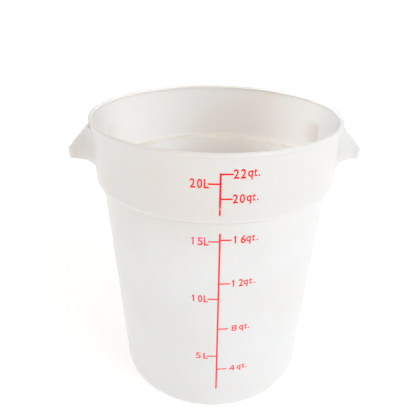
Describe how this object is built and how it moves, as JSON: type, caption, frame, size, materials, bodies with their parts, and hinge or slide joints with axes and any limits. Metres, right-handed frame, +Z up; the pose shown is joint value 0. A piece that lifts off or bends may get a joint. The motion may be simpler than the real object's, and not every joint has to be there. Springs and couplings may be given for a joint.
{
  "type": "round food storage container",
  "caption": "Round translucent plastic food storage tub with stepped shoulder, beaded rim, two hollow lifting ears and a printed red measuring scale.",
  "frame": {"origin": "middle of the base, on the plane of the foot ring's underside that the tub stands on", "axes": "+Z up through the open mouth; the two ears lie on +X and -X; the printed scale faces -Y, the front"},
  "size_m": [0.367, 0.313, 0.378],
  "materials": {
    "natural_plastic": "satin, milky and slightly see-through",
    "red_ink": "screen-printed ink"
  },
  "bodies": {
    "root": {"mark_10L_digit_1": "red_ink", "mark_10L_digit_2": "red_ink", "mark_10L_litre": "red_ink", "mark_12qt_digit_1": "red_ink", "mark_12qt_digit_2": "red_ink", "mark_12qt_q": "red_ink", "mark_12qt_stop": "red_ink", "mark_12qt_t": "red_ink", "mark_15L_digit_1": "red_ink", "mark_15L_digit_2": "red_ink", "mark_15L_litre": "red_ink", "mark_16qt_digit_1": "red_ink", "mark_16qt_digit_2": "red_ink", "mark_16qt_q": "red_ink", "mark_16qt_stop": "red_ink", "mark_16qt_t": "red_ink", "mark_20L_digit_1": "red_ink", "mark_20L_digit_2": "red_ink", "mark_20L_litre": "red_ink", "mark_20qt_digit_1": "red_ink", "mark_20qt_digit_2": "red_ink", "mark_20qt_q": "red_ink", "mark_20qt_stop": "red_ink", "mark_20qt_t": "red_ink", "mark_22qt_digit_1": "red_ink", "mark_22qt_digit_2": "red_ink", "mark_22qt_q": "red_ink", "mark_22qt_stop": "red_ink", "mark_22qt_t": "red_ink", "mark_4qt_digit_1": "red_ink", "mark_4qt_q": "red_ink", "mark_4qt_stop": "red_ink", "mark_4qt_t": "red_ink", "mark_5L_digit_1": "red_ink", "mark_5L_litre": "red_ink", "mark_8qt_digit_1": "red_ink", "mark_8qt_q": "red_ink", "mark_8qt_stop": "red_ink", "mark_8qt_t": "red_ink", "scale_line_lower": "red_ink", "scale_line_upper": "red_ink", "tub": "natural_plastic"}
  },
  "joints": []
}
